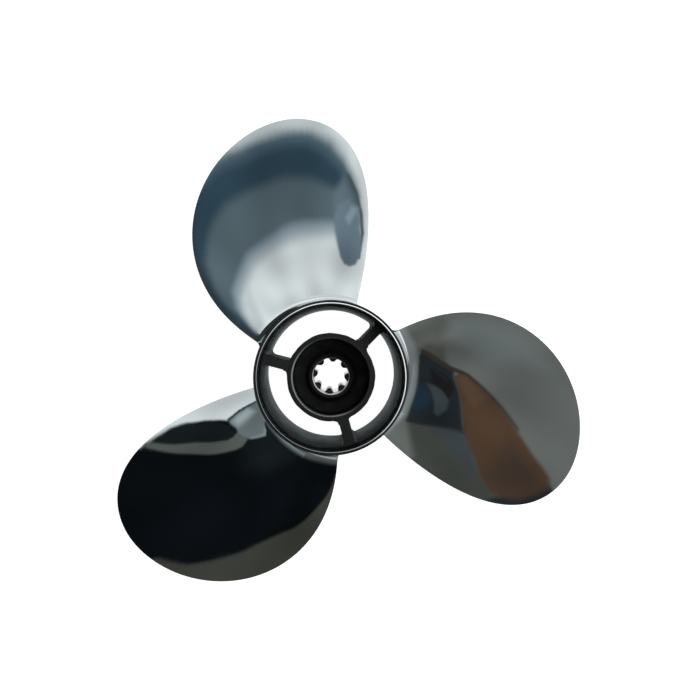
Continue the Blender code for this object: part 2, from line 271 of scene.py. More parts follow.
def cast_core():
    """Inner hub and ribs: dark grainy casting, darker below the aft face as painted shade, and the hub's rounded aft
    edge polished by wear and much brighter on the lower left as a painted highlight.
    """
    made, shader, nodes = material("cast_core")
    place = nodes.object_place()
    blotch = nodes.noise(place, 160.0, 4.0, 0.6)
    grain = nodes.noise(place, 1400.0, 3.0, 0.7)
    radius, height = nodes.shaft_radius_and_height()
    rubbed_edge_and_highlight = nodes.soft_step(radius, BEAD_OUTER_RADIUS - 0.0002, BEAD_OUTER_RADIUS - 0.0008)
    rubbed_edge_and_highlight = nodes.math("MULTIPLY", rubbed_edge_and_highlight, nodes.soft_step(height, INNER_HUB_AFT_Z - 0.0010, INNER_HUB_AFT_Z - 0.0003))
    colour = nodes.mix(blotch, (0.020, 0.020, 0.0205, 1.0), (0.045, 0.045, 0.0455, 1.0))
    # Painted shade: below the ribs' aft ends the hub and ribs turn darker.
    shaded_tone = nodes.mix(blotch, (0.006, 0.006, 0.006, 1.0), (0.014, 0.014, 0.014, 1.0))
    colour = nodes.mix(nodes.soft_step(height, RIB_AFT_Z - 0.0012, RIB_AFT_Z - 0.0004), shaded_tone, colour)
    # Painted highlight: the bead's colour is much brighter on the lower left than on the upper right.
    highlight_side = nodes.soft_step(nodes.vector("DOT_PRODUCT", place, LOWER_LEFT_SIDE), -0.005, 0.015)
    lit_tone = nodes.mix(highlight_side, (0.12, 0.12, 0.12, 1.0), (0.50, 0.50, 0.49, 1.0))
    nodes.feed(shader.inputs["Base Color"], nodes.mix(rubbed_edge_and_highlight, colour, lit_tone))
    nodes.feed(shader.inputs["Metallic"], rubbed_edge_and_highlight)
    shader.inputs["Specular IOR Level"].default_value = 0.03
    roughness = nodes.soft_step(blotch, 0.3, 0.7, 0.48, 0.60)
    nodes.feed(shader.inputs["Roughness"], nodes.soft_step(rubbed_edge_and_highlight, 0.0, 1.0, roughness, 0.34))
    lumps = nodes.bump(blotch, 0.0003)
    nodes.feed(shader.inputs["Normal"], nodes.bump(grain, 0.00005, lumps))
    return made


def black_rubber():
    """The bush: matt moulded rubber with a fine grain."""
    made, shader, nodes = material("black_rubber")
    place = nodes.object_place()
    dust = nodes.noise(place, 220.0, 4.0, 0.6)
    grain = nodes.noise(place, 2600.0, 2.0)
    nodes.feed(shader.inputs["Base Color"], nodes.mix(dust, (0.003, 0.003, 0.003, 1.0), (0.009, 0.0085, 0.008, 1.0)))
    nodes.feed(shader.inputs["Roughness"], nodes.soft_step(dust, 0.3, 0.7, 0.6, 0.8))
    nodes.feed(shader.inputs["Normal"], nodes.bump(grain, 0.00005))
    return made


def machined_steel():
    """The splined sleeve: turned and broached steel with fine rings of tool marks, warm with oil, and painted near
    black as painted shade except where it is broached and faced.
    """
    made, shader, nodes = material("machined_steel")
    place = nodes.object_place()
    stain = nodes.noise(place, 260.0, 3.0, 0.6)
    rings = nodes.noise(nodes.vector("MULTIPLY", place, (60.0, 60.0, 4000.0)), 1.0, 2.0)
    radius, height = nodes.shaft_radius_and_height()
    faced = nodes.soft_step(radius, RECESS_MOUTH_RADIUS + 0.00006, RECESS_MOUTH_RADIUS - 0.00004)
    faced = nodes.math("MULTIPLY", faced, nodes.soft_step(height, SLEEVE_AFT_Z - 0.0006, SLEEVE_AFT_Z - 0.0003))
    # Painted shade: the steel is painted near black, and darker still towards the sleeve's outer radius; the broached
    # and faced zones keep bright steel.
    colour = nodes.mix(stain, (0.009, 0.008, 0.007, 1.0), (0.023, 0.020, 0.0175, 1.0))
    rim = nodes.soft_step(radius, RECESS_MOUTH_RADIUS, SLEEVE_RADIUS, 0.0, 0.75)
    colour = nodes.mix(rim, colour, (0.003, 0.003, 0.003, 1.0))
    broached = nodes.zone(radius, 0.0069, SLEEVE_RECESS_RADIUS + 0.0001, 0.0003)
    broached = nodes.math("MULTIPLY", broached, nodes.soft_step(height, SLEEVE_RECESS_Z, SLEEVE_RECESS_Z - 0.0005))
    colour = nodes.mix(broached, colour, (0.92, 0.91, 0.89, 1.0))
    nodes.feed(shader.inputs["Base Color"], nodes.mix(faced, colour, (0.50, 0.49, 0.47, 1.0)))
    shader.inputs["Metallic"].default_value = 1.0
    nodes.feed(shader.inputs["Roughness"], nodes.soft_step(stain, 0.3, 0.7, 0.16, 0.26))
    nodes.feed(shader.inputs["Normal"], nodes.bump(rings, 0.00002))
    return made


def mesh_object(name, shape, materials, sharp_angle=40.0):
    """Links a bmesh as an object whose normals point out, smooth apart from its sharp edges."""
    bmesh.ops.recalc_face_normals(shape, faces=shape.faces)
    mesh = bpy.data.meshes.new(name)
    shape.to_mesh(mesh)
    shape.free()
    for item in materials:
        mesh.materials.append(item)
    mesh.shade_smooth()
    mesh.set_sharp_from_angle(angle=math.radians(sharp_angle))
    made = bpy.data.objects.new(name, mesh)
    bpy.context.scene.collection.objects.link(made)
    return made


def finish_piece(piece, node):
    """Attaches a piece to the root body and hides the CAD node that it stands for."""
    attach(piece, "root")
    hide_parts(node)
    return piece


def bridge(shape, lower, upper):
    """Joins two closed loops of equal length with quads and gives the faces back."""
    return [
        shape.faces.new((lower[index - 1], lower[index], upper[index], upper[index - 1]))
        for index in range(len(lower))
    ]


def rounded(corners, steps=6):
    """A closed profile whose (radius, height, round) corners are turned into arcs."""
    profile = []
    for index, (radius, height, size) in enumerate(corners):
        here = Vector((radius, height))
        before = (Vector(corners[index - 1][:2]) - here).normalized()
        after = (Vector(corners[(index + 1) % len(corners)][:2]) - here).normalized()
        if size == 0.0:
            profile.append(here)
            continue
        half = before.angle(after) / 2
        middle = here + (before + after).normalized() * (size / math.sin(half))
        first = here + before * (size / math.tan(half)) - middle
        last = here + after * (size / math.tan(half)) - middle
        sweep = first.angle(last)
        for step in range(steps + 1):
            left = math.sin(sweep * (1 - step / steps))
            right = math.sin(sweep * step / steps)
            profile.append(middle + (first * left + last * right) / math.sin(sweep))
    return profile


def turned(name, corners, steps, materials, inside=None, wobble=None):
    """Turns a rounded profile about the shaft. inside says which faces take the second material."""
    shape = bmesh.new()
    profile = rounded(corners)
    loops = []
    for step in range(steps):
        angle = math.tau * step / steps
        loop = []
        for point in profile:
            radius, height = point
            if wobble is not None:
                radius, height = wobble(radius, height, angle)
            loop.append(shape.verts.new((radius * math.cos(angle), radius * math.sin(angle), height)))
        loops.append(loop)
    for index in range(steps):
        bridge(shape, loops[index - 1], loops[index])
    if inside is not None:
        for face in shape.faces:
            centre = face.calc_center_median()
            face.material_index = 1 if inside(math.hypot(centre.x, centre.y), centre.z) else 0
    return mesh_object(name, shape, materials)


def outer_hub(polished, cast):
    """The exhaust barrel: polished outside, cast inside, with a groove and a lip round its aft end."""
    groove_z = HUB_LENGTH - 0.0006
    band_z = HUB_LENGTH - 0.0002
    corners = [
        (LIP_BORE_RADIUS, HUB_LENGTH, 0.00050),
        (GROOVE_INNER_RADIUS - 0.00005, HUB_LENGTH, 0.00012),
        (GROOVE_INNER_RADIUS + 0.00005, groove_z, 0.00008),
        (GROOVE_OUTER_RADIUS - 0.00005, groove_z, 0.00008),
        (GROOVE_OUTER_RADIUS + 0.00005, band_z, 0.00008),
        (BAND_OUTER_RADIUS, band_z, 0.00010),
        (RING_RADIUS, band_z - 0.0004, 0.00015),
        (RING_RADIUS, 0.0825, 0.0015),
        (0.0319, 0.0800, 0.0020),
        (BARREL_WAIST_RADIUS, BARREL_WAIST_Z, 0.0),
        (BARREL_FRONT_RADIUS, 0.0, 0.0004),
        (BARREL_BORE_RADIUS, 0.0, 0.0004),
        (BARREL_BORE_RADIUS, 0.0765, 0.0020),
        (LIP_BORE_RADIUS, 0.0790, 0.0020),
    ]
    return turned(
        "outer_hub",
        corners,
        BARREL_STEPS,
        [polished, cast],
        inside=lambda radius, height: radius < LIP_CREST_RADIUS,
    )


def inner_hub(cast):
    """The bush tube: a sloping rim with a rounded inner bead, its cast outer edge a little uneven."""
    corners = [
        (INNER_HUB_BORE_RADIUS, INNER_HUB_AFT_Z, 0.0008),
        (BEAD_OUTER_RADIUS, INNER_HUB_AFT_Z, 0.0006),
        (INNER_HUB_RADIUS, INNER_HUB_AFT_Z - 0.0005, 0.0006),
        (INNER_HUB_RADIUS, INNER_HUB_FRONT_Z, 0.0004),
        (INNER_HUB_BORE_RADIUS, INNER_HUB_FRONT_Z, 0.0004),
    ]

    def rough_edge(radius, height, angle):
        ripple = math.sin(7 * angle + 1.0) + 0.6 * math.sin(17 * angle) + 0.4 * math.sin(31 * angle + 2.0)
        outer = max(radius - INNER_HUB_BORE_RADIUS - 0.0015, 0.0) / 0.0013
        return radius + 0.00007 * (ripple - 2.0) * outer, height

    return turned("inner_hub", corners, INNER_STEPS, [cast], wobble=rough_edge)


def rubber_bush(rubber):
    """The bush, its aft face slightly hollow between hub and sleeve."""
    outer = INNER_HUB_BORE_RADIUS + SEAM_OVERLAP
    inner = SLEEVE_RADIUS - SEAM_OVERLAP
    corners = [
        (inner, BUSH_AFT_Z, 0.0003),
        (inner + 0.0015, BUSH_AFT_Z - 0.0008, 0.0015),
        (outer - 0.0015, BUSH_AFT_Z - 0.0008, 0.0015),
        (outer, BUSH_AFT_Z - 0.0001, 0.0002),
        (outer, BUSH_FRONT_Z, 0.0008),
        (inner, BUSH_FRONT_Z, 0.0003),
    ]
    return turned("rubber_bush", corners, INNER_STEPS, [rubber])


def spline_radius(angle):
    """The splined bore's radius at an angle: rounded teeth between wider valleys."""
    pitch_angle = math.tau / SPLINE_COUNT
    turn = (angle - math.radians(FIRST_SPLINE_ANGLE)) / pitch_angle
    away = abs(turn - round(turn))
    share = min(max((SPLINE_BASE_SHARE - away) / (SPLINE_BASE_SHARE - SPLINE_TIP_SHARE), 0.0), 1.0)
    rise = share * share * (3 - 2 * share)
    return SPLINE_MAJOR_RADIUS - (SPLINE_MAJOR_RADIUS - SPLINE_MINOR_RADIUS) * rise


def splined_sleeve(steel):
    """The sleeve: chamfered ends, a plain recess aft, and splines through the rest."""
    steps = SPLINE_COUNT * SPLINE_STEPS
    chamfer = 0.0003
    rings = [
        (SLEEVE_RADIUS - chamfer, SLEEVE_FRONT_Z),
        (SLEEVE_RADIUS, SLEEVE_FRONT_Z + chamfer),
        (SLEEVE_RADIUS, SLEEVE_AFT_Z - chamfer),
        (SLEEVE_RADIUS - chamfer, SLEEVE_AFT_Z),
        (RECESS_MOUTH_RADIUS, SLEEVE_AFT_Z),
        (SLEEVE_RECESS_RADIUS, SLEEVE_AFT_Z - RECESS_MOUTH_DROP),
        (SLEEVE_RECESS_RADIUS, SLEEVE_RECESS_Z + 0.0001),
        (SLEEVE_RECESS_RADIUS - 0.0001, SLEEVE_RECESS_Z),
    ]
    tooth = SPLINE_MAJOR_RADIUS - SPLINE_MINOR_RADIUS
    bore = [
        (0.35 * tooth, SLEEVE_RECESS_Z - 0.00005),
        (0.0, SLEEVE_RECESS_Z - 0.6 * tooth),
        (0.0, SLEEVE_FRONT_Z + 0.6 * tooth),
        (0.35 * tooth, SLEEVE_FRONT_Z),
    ]
    angles = [math.tau * step / steps for step in range(steps)]
    shape = bmesh.new()
    loops = []
    for radius, height in rings:
        loops.append([
            shape.verts.new((radius * math.cos(angle), radius * math.sin(angle), height)) for angle in angles
        ])
    for cut, height in bore:
        loop = []
        for angle in angles:
            radius = min(spline_radius(angle) + cut, SPLINE_MAJOR_RADIUS)
            loop.append(shape.verts.new((radius * math.cos(angle), radius * math.sin(angle), height)))
        loops.append(loop)
    for index in range(len(loops)):
        bridge(shape, loops[index - 1], loops[index])
    return mesh_object("splined_sleeve", shape, [steel])


def rib_outline(draft):
    """The rib's plan along +X, from inside the hub's wall to inside the barrel's, flared at both."""
    half = RIB_HALF_WIDTH + draft
    steps = 8
    side = [(INNER_HUB_RADIUS - 0.0007, half + RIB_FLARE)]
    for step in range(steps + 1):
        turn = math.pi / 2 * step / steps
        side.append((INNER_HUB_RADIUS - 0.0001 + RIB_FLARE * (1 - math.cos(turn)), half + RIB_FLARE * (1 - math.sin(turn))))
    for step in range(steps + 1):
        turn = math.pi / 2 * step / steps
        side.append((BARREL_BORE_RADIUS - RIB_FLARE * (1 - math.sin(turn)), half + RIB_FLARE * (1 - math.cos(turn))))
    side.append((BARREL_BORE_RADIUS + 0.0007, half + RIB_FLARE))
    left = [(radius, math.asin(width / radius)) for radius, width in side]
    right = [(radius, -angle) for radius, angle in reversed(left)]
    return left + [(BARREL_BORE_RADIUS + 0.0007, 0.0)] + right + [(INNER_HUB_RADIUS - 0.0007, 0.0)]


def rib(index, cast):
    """One rib, drafted so that its sides widen towards the front, with softened edges."""
    start = math.radians(FIRST_RIB_ANGLE + 360.0 / BLADE_COUNT * index)
    shape = bmesh.new()
    loops = []
    for draft, height in ((RIB_DRAFT, RIB_FRONT_Z), (0.0, RIB_AFT_Z)):
        loops.append([
            shape.verts.new((radius * math.cos(start + angle), radius * math.sin(start + angle), height))
            for radius, angle in rib_outline(draft)
        ])
    bridge(shape, loops[0], loops[1])
    ends = [shape.faces.new(loops[0]), shape.faces.new(loops[1])]
    edges = list({edge for face in ends for edge in face.edges})
    bmesh.ops.bevel(shape, geom=edges, offset=RIB_EDGE_ROUND, segments=3, affect="EDGES", clamp_overlap=True)
    return mesh_object(f"rib_{index + 1}", shape, [cast])


def barrel_radius_at(height):
    """The barrel's outer radius where a blade root meets it."""
    share = np.clip(height / BARREL_WAIST_Z, 0.0, 1.0)
    return BARREL_FRONT_RADIUS + (BARREL_WAIST_RADIUS - BARREL_FRONT_RADIUS) * share


def blade_half_angle(radius):
    """Half the angle that the blade covers at a radius, closing round at the tip."""
    share = np.clip(radius / PROPELLER_RADIUS, 0.0, 1.0)
    return math.radians(BLADE_HALF_ANGLE) * (1 - share ** BLADE_FULLNESS) ** BLADE_ROUNDNESS


def blade_middle_angle(radius):
    """The angle of the section's middle, which skews towards the leading edge at the tip."""
    share = radius / PROPELLER_RADIUS
    return np.radians(BLADE_MIDDLE_ANGLE + BLADE_SKEW_LINEAR * share + BLADE_SKEW_SQUARE * share ** 2)


def blade_stations():
    """The radii of the sections and how far round the root fillet each one is, from 1 down to 0."""
    turns = np.linspace(1.0, 0.0, FILLET_STEPS + 1)
    fillet = BARREL_WAIST_RADIUS + ROOT_FILLET * (1 - np.sin(turns * math.pi / 2))
    foot = fillet[-1]
    full_share = blade_half_angle(foot) / math.radians(BLADE_HALF_ANGLE)
    shares = full_share * np.cos(np.linspace(0.0, math.pi / 2, SPAN_STEPS + 1)[1:])
    outer = PROPELLER_RADIUS * (1 - shares ** (1 / BLADE_ROUNDNESS)) ** (1 / BLADE_FULLNESS)
    radii = np.concatenate(([BARREL_WAIST_RADIUS - ROOT_SINK], fillet, outer))
    fillet_turns = np.concatenate(([1.0], turns, np.zeros(SPAN_STEPS)))
    return radii, fillet_turns


def edge_distance(radius, along):
    """How far grid points on the developed blade are from its outline."""
    slope_radii = np.linspace(BARREL_WAIST_RADIUS - 0.01, PROPELLER_RADIUS, 500)
    reach = slope_radii * blade_half_angle(slope_radii) * pitch_stretch(slope_radii)
    outline = np.concatenate((
        np.stack((slope_radii, reach), axis=-1),
        np.stack((slope_radii, -reach), axis=-1),
    ))
    points = np.stack((radius.ravel(), along.ravel()), axis=-1)
    nearest = np.empty(len(points))
    for index, point in enumerate(points):
        nearest[index] = np.hypot(*(outline - point).T).min()
    return nearest.reshape(radius.shape)


def pitch_stretch(radius):
    """How much longer a line along the pitch is than its arc round the shaft."""
    return np.hypot(1.0, PITCH / math.tau / radius)


def blade_grid(side):
    """Points of the pressure face (side 1) or the back (side -1), one row for each section."""
    radii, turns = blade_stations()
    shares = -np.cos(np.pi * np.arange(CHORD_STEPS + 1) / CHORD_STEPS)
    radius = np.repeat(radii[:, None], CHORD_STEPS + 1, axis=1)
    share = np.repeat(shares[None, :], len(radii), axis=0)
    turn = np.repeat(turns[:, None], CHORD_STEPS + 1, axis=1)

    fillet = 1 - np.cos(turn * math.pi / 2)
    half_chord = radius * blade_half_angle(radius) * pitch_stretch(radius) + EDGE_FILLET * fillet
    along = share * half_chord
    distance = edge_distance(radius, share * radius * blade_half_angle(radius) * pitch_stretch(radius))
    in_root = turn > 0.0
    edge = np.where(in_root, half_chord * (1 - np.abs(share)), distance)
    edge[:, 0] = 0.0
    edge[:, -1] = 0.0

    span = np.clip((PROPELLER_RADIUS - radius) / (PROPELLER_RADIUS - BARREL_WAIST_RADIUS), 0.0, 1.0)
    thickness = TIP_THICKNESS + (ROOT_THICKNESS - TIP_THICKNESS) * span ** THICKNESS_FALL
    thickness = thickness * np.clip(1 - share ** 2, 0.0, 1.0) ** SECTION_ROUNDNESS
    closing = 1 - np.clip(edge / EDGE_ROUND, 0.0, 1.0)
    thickness = thickness * np.sqrt(1 - closing ** 2)
    flare = ROOT_FILLET * fillet * np.clip(edge / EDGE_ROUND, 0.0, 1.0)
    above = flare if side > 0 else -thickness - flare

    slope = np.arctan2(PITCH / math.tau, radius)
    middle = blade_middle_angle(radius)
    angle = middle + (along * np.cos(slope) - above * np.sin(slope)) / radius
    height = BLADE_CENTRE_Z + PITCH / math.tau * (middle - math.radians(BLADE_CENTRE_ANGLE))
    height = height + BLADE_RAKE * (radius - BARREL_WAIST_RADIUS)
    height = height + along * np.sin(slope) + above * np.cos(slope)
    fade = (radius - BARREL_WAIST_RADIUS) / (PROPELLER_RADIUS - BARREL_WAIST_RADIUS)
    radius = radius + (barrel_radius_at(height) - BARREL_WAIST_RADIUS) * np.clip(1 - fade, 0.0, 1.0)
    return np.stack((radius, angle, height), axis=-1)


def blade(index, face, back, polished):
    """One blade as a closed skin: sections from inside the barrel's wall to the tip."""
    turn = math.tau / BLADE_COUNT * index
    shape = bmesh.new()

    def vertex(point):
        radius, angle, height = point
        return shape.verts.new((radius * math.cos(angle + turn), radius * math.sin(angle + turn), height))

    loops = []
    for face_row, back_row in zip(face, back):
        loops.append([vertex(point) for point in face_row] + [vertex(point) for point in back_row[-2:0:-1]])
    for lower, upper in zip(loops, loops[1:]):
        bridge(shape, lower, upper)
    root = loops[0]
    count = CHORD_STEPS
    for step in range(1, count - 1):
        shape.faces.new((root[step], root[step + 1], root[-step - 1], root[-step]))
    shape.faces.new((root[0], root[1], root[-1]))
    shape.faces.new((root[count], root[count + 1], root[count - 1]))
    bmesh.ops.remove_doubles(shape, verts=shape.verts, dist=0.000001)
    return mesh_object(f"blade_{index + 1}", shape, [polished], sharp_angle=60.0)


# Dome that carries the surroundings, with most of its rows near the horizon and above
DOME_RADIUS = 20.0
DOME_COLUMNS = 600
DOME_ROWS = 160
DOME_ROW_SHARES = (0.0, 0.10, 0.86, 1.0)
DOME_ROW_ELEVATIONS = (-90.0, -12.0, 56.0, 90.0)
AZIMUTH_START = -50.0
RIPPLE_FADE = (55.0, 70.0)
CLOUD_WAVES = 5
CLOUD_TURN = 2.4
CLOUD_LENGTH = 16.0
CLOUD_LENGTH_STEP = 5.0
CLOUD_SHARE = 0.26
SWAY = 0.35
SHADING_SHARE = 0.08

# Shades of the surroundings
WHITE = (1.05, 1.10, 1.10)
LIGHT = (0.96, 1.02, 1.02)
PALE = (0.80, 0.87, 0.88)
CLOUD = (0.72, 0.79, 0.80)
FADED_BLUE = (0.34, 0.43, 0.49)
MID_BLUE = (0.20, 0.275, 0.33)
MILD_BLUE = (0.165, 0.225, 0.27)
SLATE = (0.128, 0.180, 0.208)
BLUE_HAZE = (0.118, 0.188, 0.235)
INK = (0.041, 0.083, 0.117)
SHADY_GREEN = (0.045, 0.060, 0.067)
NIGHT = (0.005, 0.0065, 0.0085)
BOTTLE = (0.012, 0.017, 0.019)
DEEP_SLATE = (0.08, 0.11, 0.12)
DARK_GREEN = (0.035, 0.048, 0.048)
WAVE_GREY = (0.05, 0.07, 0.075)
MIST = (0.44, 0.53, 0.555)
PUDDLE = (0.28, 0.335, 0.350)
HAZE = (0.185, 0.225, 0.235)
ASH = (0.125, 0.145, 0.13)
MUSHROOM = (0.068, 0.070, 0.060)
SEA_GREY = (0.175, 0.190, 0.178)
DIM_GREY = (0.074, 0.080, 0.070)
STONE = (0.145, 0.150, 0.132)
WALNUT = (0.105, 0.060, 0.036)
COCOA = (0.078, 0.052, 0.038)
TAN = (0.125, 0.078, 0.050)
OLIVE = (0.050, 0.043, 0.031)
SOOT = (0.018, 0.018, 0.018)
DUSK = (0.023, 0.029, 0.033)
NAVY = (0.018, 0.039, 0.058)
SMOKE = (0.062, 0.078, 0.088)
STEEL_GREY = (0.30, 0.325, 0.335)
BRIGHT_GREY = (0.46, 0.50, 0.51)
SEA_LIGHT = (0.235, 0.265, 0.258)
DRIZZLE = (0.090, 0.096, 0.086)
LOW_GREY = (0.15, 0.17, 0.17)
OVERHEAD = (0.06, 0.066, 0.07)

# Bands below and above the horizon
BAND_TOP = (-7.5, -2.5)
BAND_FOOT = (-22.0, -12.0)
FLOOR_TOP = (-82.0, -45.0)
FLOOR_LIGHT = (0.95, 1.0, 1.0)
LOW_BANDS = (
    (-50.0, 61.0, WHITE),
    (61.0, 98.0, DARK_GREEN),
    (98.0, 165.0, PUDDLE),
    (165.0, 190.0, LOW_GREY),
    (190.0, 245.0, BRIGHT_GREY),
    (245.0, 310.0, STEEL_GREY),
)
UPPER_EDGE = (52.0, 66.0)

# The large soft light overhead
SOFTBOX_DIRECTION = (55.0, 77.0)
SOFTBOX_EDGE = (12.0, 21.0)
SOFTBOX_SHADE = (1.18, 1.20, 1.20)

# What the polished steel mirrors: each patch is an outline of directions (azimuth, elevation) with a shade
# and the softness of its edge, and a later patch lies over the earlier ones.
TOP_BLADE_PATCHES = (
    (((-70, -90), (98, -90), (98, 90), (-70, 90)), PALE, 2.0),
    (((64, -90), (92, -90), (92, 70), (52, 70), (54, 47), (62, 34), (66, 16), (64, -8)), DARK_GREEN, 2.0),
    (((-4, 38), (0, 42.3), (4, 45.7), (9, 48.2), (15, 49.8), (24, 50.1), (38, 49.8), (48, 48), (56, 43),
      (63, 32), (68, 15), (70, -8), (0, -8), (-4, 30)), BLUE_HAZE, 2.4),
    (((-4, 36), (0, 40), (4, 43.6), (9, 46.2), (15, 47.8), (24, 48.3), (38, 48.2), (47, 46.5), (54, 41.5),
      (61, 31), (66, 15), (68, -8), (0, -8), (-4, 28)), INK, 3.6),
    (((-3, 30), (-1, 35), (4, 38.7), (12, 40.6), (20, 42), (30, 42.4), (38, 41.4), (46, 38.6), (52, 34),
      (56, 27), (58.5, 19), (60, 8), (61.5, -8), (0, -8)), SLATE, 3.6),
    (((43, 47), (49, 42), (53, 36), (56.5, 29.5), (59.5, 21), (62, 10), (64, -8), (80, -8), (80, 40),
      (60, 52)), SHADY_GREEN, 2.0),
    (((-16, -90), (-16, 20), (-4, 29.5), (22, 30), (30, 28.5), (38, 27), (46, 23.5), (52, 20.5), (57, 14),
      (59.5, 4), (61, -8), (61, -90)), FADED_BLUE, 4.0),
    (((-20, -90), (-20, 25), (0, 25), (22, 25.2), (30, 24.2), (38, 22.3), (45, 18.8), (51, 15), (56, 9),
      (59, 0), (60, -8), (60, -90)), LIGHT, 8.0),
    (((46, 16), (53, 12), (58, 2), (59, -6), (54, -6), (50, 3)), CLOUD, 6.0),
    (((-22, -8), (-17, 0), (-14.5, 14), (-12, 27), (-8, 35), (-2, 42), (5, 48), (12, 50.5), (0, 50),
      (-12, 40), (-22, 20)), WHITE, 1.4),
    (((-12.3, 17), (-11, 17), (-9.0, 27), (-6.0, 33), (-2.3, 38.3), (2.2, 42.5), (1.5, 43), (-3, 39.2),
      (-7, 34), (-10.2, 27.5)), DEEP_SLATE, 0.8),
    (((-8, 30), (2.5, 30), (4.5, 38), (2.5, 42), (-2.5, 38)), MILD_BLUE, 3.0),
    (((-11.8, 18), (-11, 14), (-8.5, 12.3), (-5.5, 13), (-3, 16), (-0.5, 21), (1.5, 26), (2.5, 31), (2, 35),
      (-1, 37), (-4.5, 35), (-9, 27), (-11.2, 22)), MID_BLUE, 1.4),
    (((-5.0, 35), (-3.5, 29), (-1.5, 31), (-2.5, 35)), FADED_BLUE, 2.0),
)
LEFT_BLADE_PATCHES = (
    (((98, -90), (205, -90), (205, 90), (98, 90)), NIGHT, 1.0),
    (((134, 14), (142, 22), (150, 14), (158, 2), (158, -6), (130, -6)), BOTTLE, 12.0),
    (((150, 60), (152, 51), (157, 48.6), (160, 45.4), (163.5, 41), (167.5, 35.5), (170, 32), (173, 28.7),
      (176, 24), (179.5, 17.8), (182.3, 13), (184.5, 8), (187, 0), (188, -8), (205, -8), (205, 60)),
     MUSHROOM, 0.8),
    (((115, 33), (118, 41), (121, 41), (122.5, 34), (124.5, 27), (127, 20), (126, 14.5), (120, 17),
      (116.5, 22)), BOTTLE, 2.0),
    (((92, -90), (112, -90), (112, -8), (112.7, 0), (113.8, 6), (116, 12), (118, 15.5), (116.5, 19), (115, 25),
      (114.5, 32), (115.5, 37), (118, 41.5), (120.5, 45), (118, 50), (92, 50)), LIGHT, 1.2),
    (((119, 44.5), (121, 43.5), (123.5, 39), (126.5, 33.5), (130, 26.5), (133, 19), (133.3, 15.5), (131.5, 11),
      (125, 12.5), (127, 17), (127, 20), (124.8, 26), (123, 31), (121.5, 37), (119.5, 42)), ASH, 0.9),
    (((112.7, -8), (113.2, 0), (114.4, 6), (116.5, 12), (118.5, 15.5), (120.5, 15), (123, 13.5), (126, 13.5),
      (129, 12), (132, 10), (134.5, 5), (136, 1.5), (133, -1), (128, -3), (127, -8)), HAZE, 0.9),
    (((114.5, 3), (117, 11), (119.5, 14), (122.5, 12), (121, 6), (118.5, -1)), MIST, 5.0),
    (((131, -1.0), (133, -0.8), (135.8, 1.5), (134, 6), (132, 9.5), (131.5, 8.5), (133.2, 4), (133.5, 1.5)),
     PUDDLE, 1.2),
    (((118.6, 15.5), (117.2, 12.6), (115.5, 8.5), (114.6, 4), (114, 0), (113.2, -6), (112, -6), (112.6, 0),
      (113.2, 4.5), (114.2, 9), (116.0, 13), (117.2, 16.2)), WAVE_GREY, 0.5),
)
RIGHT_BLADE_PATCHES = (
    (((205, -90), (318, -90), (318, 90), (205, 90)), SEA_GREY, 6.0),
    (((205, 14), (229, 16), (233, 10.5), (238, 4), (242, -2), (252, 10), (252, 26), (249, 30), (245, 38),
      (243, 44), (238, 52), (205, 50)), DIM_GREY, 6.0),
    (((284, 20), (300, 20), (300, -5), (288, -2)), STONE, 6.0),
    (((281, 42), (287, 40), (296, 28), (299, 18), (292, 13), (286, 18), (281, 30)), SEA_LIGHT, 9.0),
    (((279, 12), (288, 11), (291, 4), (289, -4), (283, -1)), DRIZZLE, 5.0),
    (((241.8, 41), (244, 44.5), (248, 47.3), (252.5, 49.3), (256.5, 48.5), (258.5, 43.5), (261.5, 39),
      (265.5, 33), (269.5, 27), (273, 21.5), (274.5, 17.5), (273, 15.5), (269, 17), (264.5, 19.5), (260, 22),
      (255.5, 24), (250.5, 26.3), (247.8, 29), (246.3, 33), (243.8, 36.5)), WALNUT, 1.2),
    (((243, 44), (248, 46), (252.5, 48), (255, 47), (258, 38), (244, 38)), COCOA, 6.0),
    (((262, 26), (267, 28), (273, 20), (272, 17), (266, 20)), TAN, 3.0),
    (((252, 26), (248.5, 28.5), (246.5, 32), (243.5, 34), (242, 28), (245, 20), (247, 14)), SMOKE, 5.0),
    (((251, 26), (255.5, 24), (260, 22), (264.5, 19.5), (269, 17), (272.5, 15.5), (276, 15.5), (279, 10.5),
      (283, 6), (287.5, -1), (285, -3.3), (276, -4.2), (264, -4.4), (254, -3.2), (246, -2), (241, -0.5),
      (243, 5), (247, 14), (249.5, 21)), DUSK, 2.5),
    (((252.5, 13), (257, 16), (262, 15), (265.5, 11), (268, 5), (268.5, 1.5), (264.5, 5), (258, 9),
      (253.5, 10.5)), SMOKE, 2.0),
    (((253, 6), (259, 6.5), (264, 4), (268, 0), (268, -3.3), (258, -3.5), (251, -1.5)), NAVY, 2.0),
    (((262, 15), (268, 16), (273, 12), (277, 6), (277, 3), (272, 4), (269.5, 4), (267, 9)), SOOT, 1.2),
    (((270, 12.5), (271.3, 12.5), (277, 5.5), (276.3, 4.8)), DUSK, 0.8),
    (((261.3, 39.5), (262.3, 39.5), (266.6, 33), (270.8, 27), (274.8, 21), (277.5, 14.5), (282, 8.5),
      (286, 3.5), (289, -1), (286.5, -2), (283, 3), (279, 8.5), (275.5, 14), (273.3, 20.5), (269.8, 26.3),
      (265.8, 32.3)), OLIVE, 0.9),
    (((239, 41.5), (243, 45.5), (247, 48.5), (252, 51), (255.5, 50.5), (255.5, 48.9), (252, 48),
      (247, 45.9), (242.5, 42.8)), DUSK, 1.3),
)


def smooth_step(value, low, high):
    """0 below low and 1 above high, with an even rise between them."""
    share = np.clip((value - low) / (high - low), 0.0, 1.0)
    return share * share * (3 - 2 * share)


